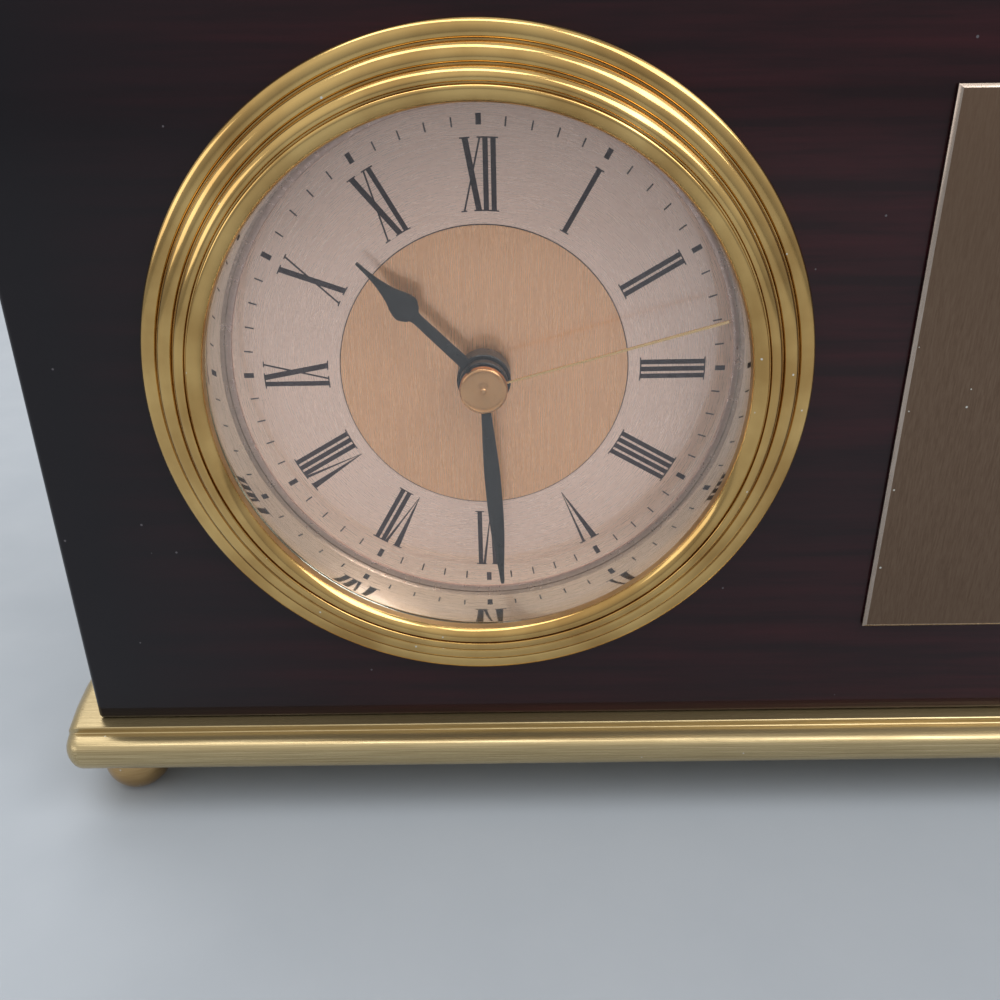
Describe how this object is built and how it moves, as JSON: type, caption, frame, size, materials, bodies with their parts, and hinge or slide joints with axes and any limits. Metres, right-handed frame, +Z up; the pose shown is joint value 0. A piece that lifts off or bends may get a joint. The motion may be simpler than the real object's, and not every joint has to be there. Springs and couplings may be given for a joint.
{
  "type": "desk clock",
  "caption": "Desk clock: lacquered wood block on a moulded brass base with ball feet, with a round fit-up quartz clock and a bare brass plaque.",
  "frame": {"origin": "on the desk, under the middle of the base", "axes": "+Z up, +X to the right as seen from the front, and the dial faces -Y"},
  "size_m": [0.2004, 0.0432, 0.1259],
  "materials": {
    "lacquered_wood": "near-black walnut stain under clear gloss lacquer",
    "satin_brass": "brushed and clear lacquered brass",
    "polished_brass": "polished and clear lacquered brass",
    "plaque_brass": "brushed brass, bare, with bright bevels",
    "zinc_screw": "zinc plated steel",
    "white_tape": "white foam mounting tape",
    "clear_glass": "clear domed mineral glass",
    "ring_mirror": "bright silver metallised plastic",
    "silvered_dial": "satin silver with fine circular brushing",
    "gold_dial": "satin gold with fine vertical brushing",
    "black_hand": "satin black",
    "case_plastic": "matt black moulded plastic",
    "black_rubber": "matt black rubber",
    "movement_plastic": "dark grey moulded plastic",
    "wheel_plastic": "natural acetal",
    "wheel_brass": "cut brass",
    "magnet_black": "bonded magnet",
    "soft_iron": "bright soft iron stampings",
    "coil_copper": "enamelled copper wire",
    "board_green": "green solder mask",
    "chip_black": "black epoxy",
    "can_metal": "bright nickel",
    "contact_nickel": "nickel plated spring steel",
    "cell_jacket": "printed film jacket, plain"
  },
  "bodies": {
    "stand": {"wood_body": "lacquered_wood", "base_plate": "satin_brass", "foot_front_left": "polished_brass", "foot_front_right": "polished_brass", "foot_rear_left": "polished_brass", "foot_rear_right": "polished_brass", "foot_studs": "zinc_screw", "base_screws": "zinc_screw", "plaque_plate": "plaque_brass", "plaque_tape": "white_tape"},
    "insert": {"bezel": "polished_brass", "crystal": "clear_glass", "reflector_ring": "ring_mirror", "dial_plate": "silvered_dial", "dial_centre_disc": "gold_dial", "case_cup": "case_plastic", "friction_ring": "black_rubber", "movement_front_plate": "movement_plastic", "movement_middle_plate": "movement_plastic", "movement_rear_plate": "movement_plastic", "movement_screws": "zinc_screw", "stator": "soft_iron", "coil_core": "soft_iron", "coil_bobbin": "wheel_plastic", "coil_winding": "coil_copper", "circuit_board": "board_green", "quartz_can": "can_metal", "clock_chip": "chip_black", "contact_negative": "contact_nickel", "contact_positive": "contact_nickel"},
    "hour": {"hour_wheel": "wheel_plastic", "hour_hand": "black_hand"},
    "minute": {"centre_wheel": "wheel_brass", "minute_hand": "black_hand"},
    "seconds": {"seconds_wheel": "wheel_plastic", "seconds_hand": "polished_brass", "seconds_cap": "polished_brass"},
    "third": {"third_wheel": "wheel_plastic"},
    "step": {"step_wheel": "wheel_plastic"},
    "rotor": {"rotor_pinion": "wheel_plastic", "rotor_magnet": "magnet_black"},
    "motion": {"motion_wheel": "wheel_plastic"},
    "knob": {"setting_knob": "case_plastic", "knob_stem": "wheel_plastic"},
    "battery": {"battery_cell": "cell_jacket", "battery_button": "can_metal"}
  },
  "joints": [
    {"name": "insert_slide", "type": "slide", "parent": "stand", "child": "insert", "axis": [0, -1, 0], "range_m": [0, 0.04]},
    {"name": "minute_turn", "type": "hinge", "parent": "insert", "child": "minute", "pos_m": [-0.03095, -0.0094, 0.0709], "axis": [0, 1, 0], "continuous": true},
    {"name": "hour_turn", "type": "hinge", "parent": "insert", "child": "hour", "pos_m": [-0.03095, -0.0094, 0.0709], "axis": [0, 1, 0], "continuous": true},
    {"name": "seconds_turn", "type": "hinge", "parent": "insert", "child": "seconds", "pos_m": [-0.03095, -0.0094, 0.0709], "axis": [0, 1, 0], "continuous": true},
    {"name": "third_turn", "type": "hinge", "parent": "insert", "child": "third", "pos_m": [-0.02791, -0.0094, 0.07621], "axis": [0, 1, 0], "continuous": true},
    {"name": "step_turn", "type": "hinge", "parent": "insert", "child": "step", "pos_m": [-0.02793, -0.0094, 0.06571], "axis": [0, 1, 0], "continuous": true},
    {"name": "rotor_turn", "type": "hinge", "parent": "insert", "child": "rotor", "pos_m": [-0.02291, -0.0094, 0.06662], "axis": [0, 1, 0], "continuous": true},
    {"name": "motion_turn", "type": "hinge", "parent": "insert", "child": "motion", "pos_m": [-0.03658, -0.0094, 0.06883], "axis": [0, 1, 0], "continuous": true},
    {"name": "knob_turn", "type": "hinge", "parent": "insert", "child": "knob", "pos_m": [-0.04249, -0.0094, 0.06985], "axis": [0, 1, 0], "continuous": true},
    {"name": "battery_slide", "type": "slide", "parent": "insert", "child": "battery", "axis": [0, 1, 0], "range_m": [0, 0.02]}
  ],
  "couplings": [
    {"joint": "hour_turn", "follows": "minute_turn", "ratio": 0.083333},
    {"joint": "seconds_turn", "follows": "minute_turn", "ratio": 60},
    {"joint": "third_turn", "follows": "minute_turn", "ratio": -8},
    {"joint": "step_turn", "follows": "minute_turn", "ratio": -240},
    {"joint": "rotor_turn", "follows": "minute_turn", "ratio": 1800},
    {"joint": "motion_turn", "follows": "minute_turn", "ratio": -0.33333},
    {"joint": "knob_turn", "follows": "minute_turn", "ratio": 1}
  ]
}
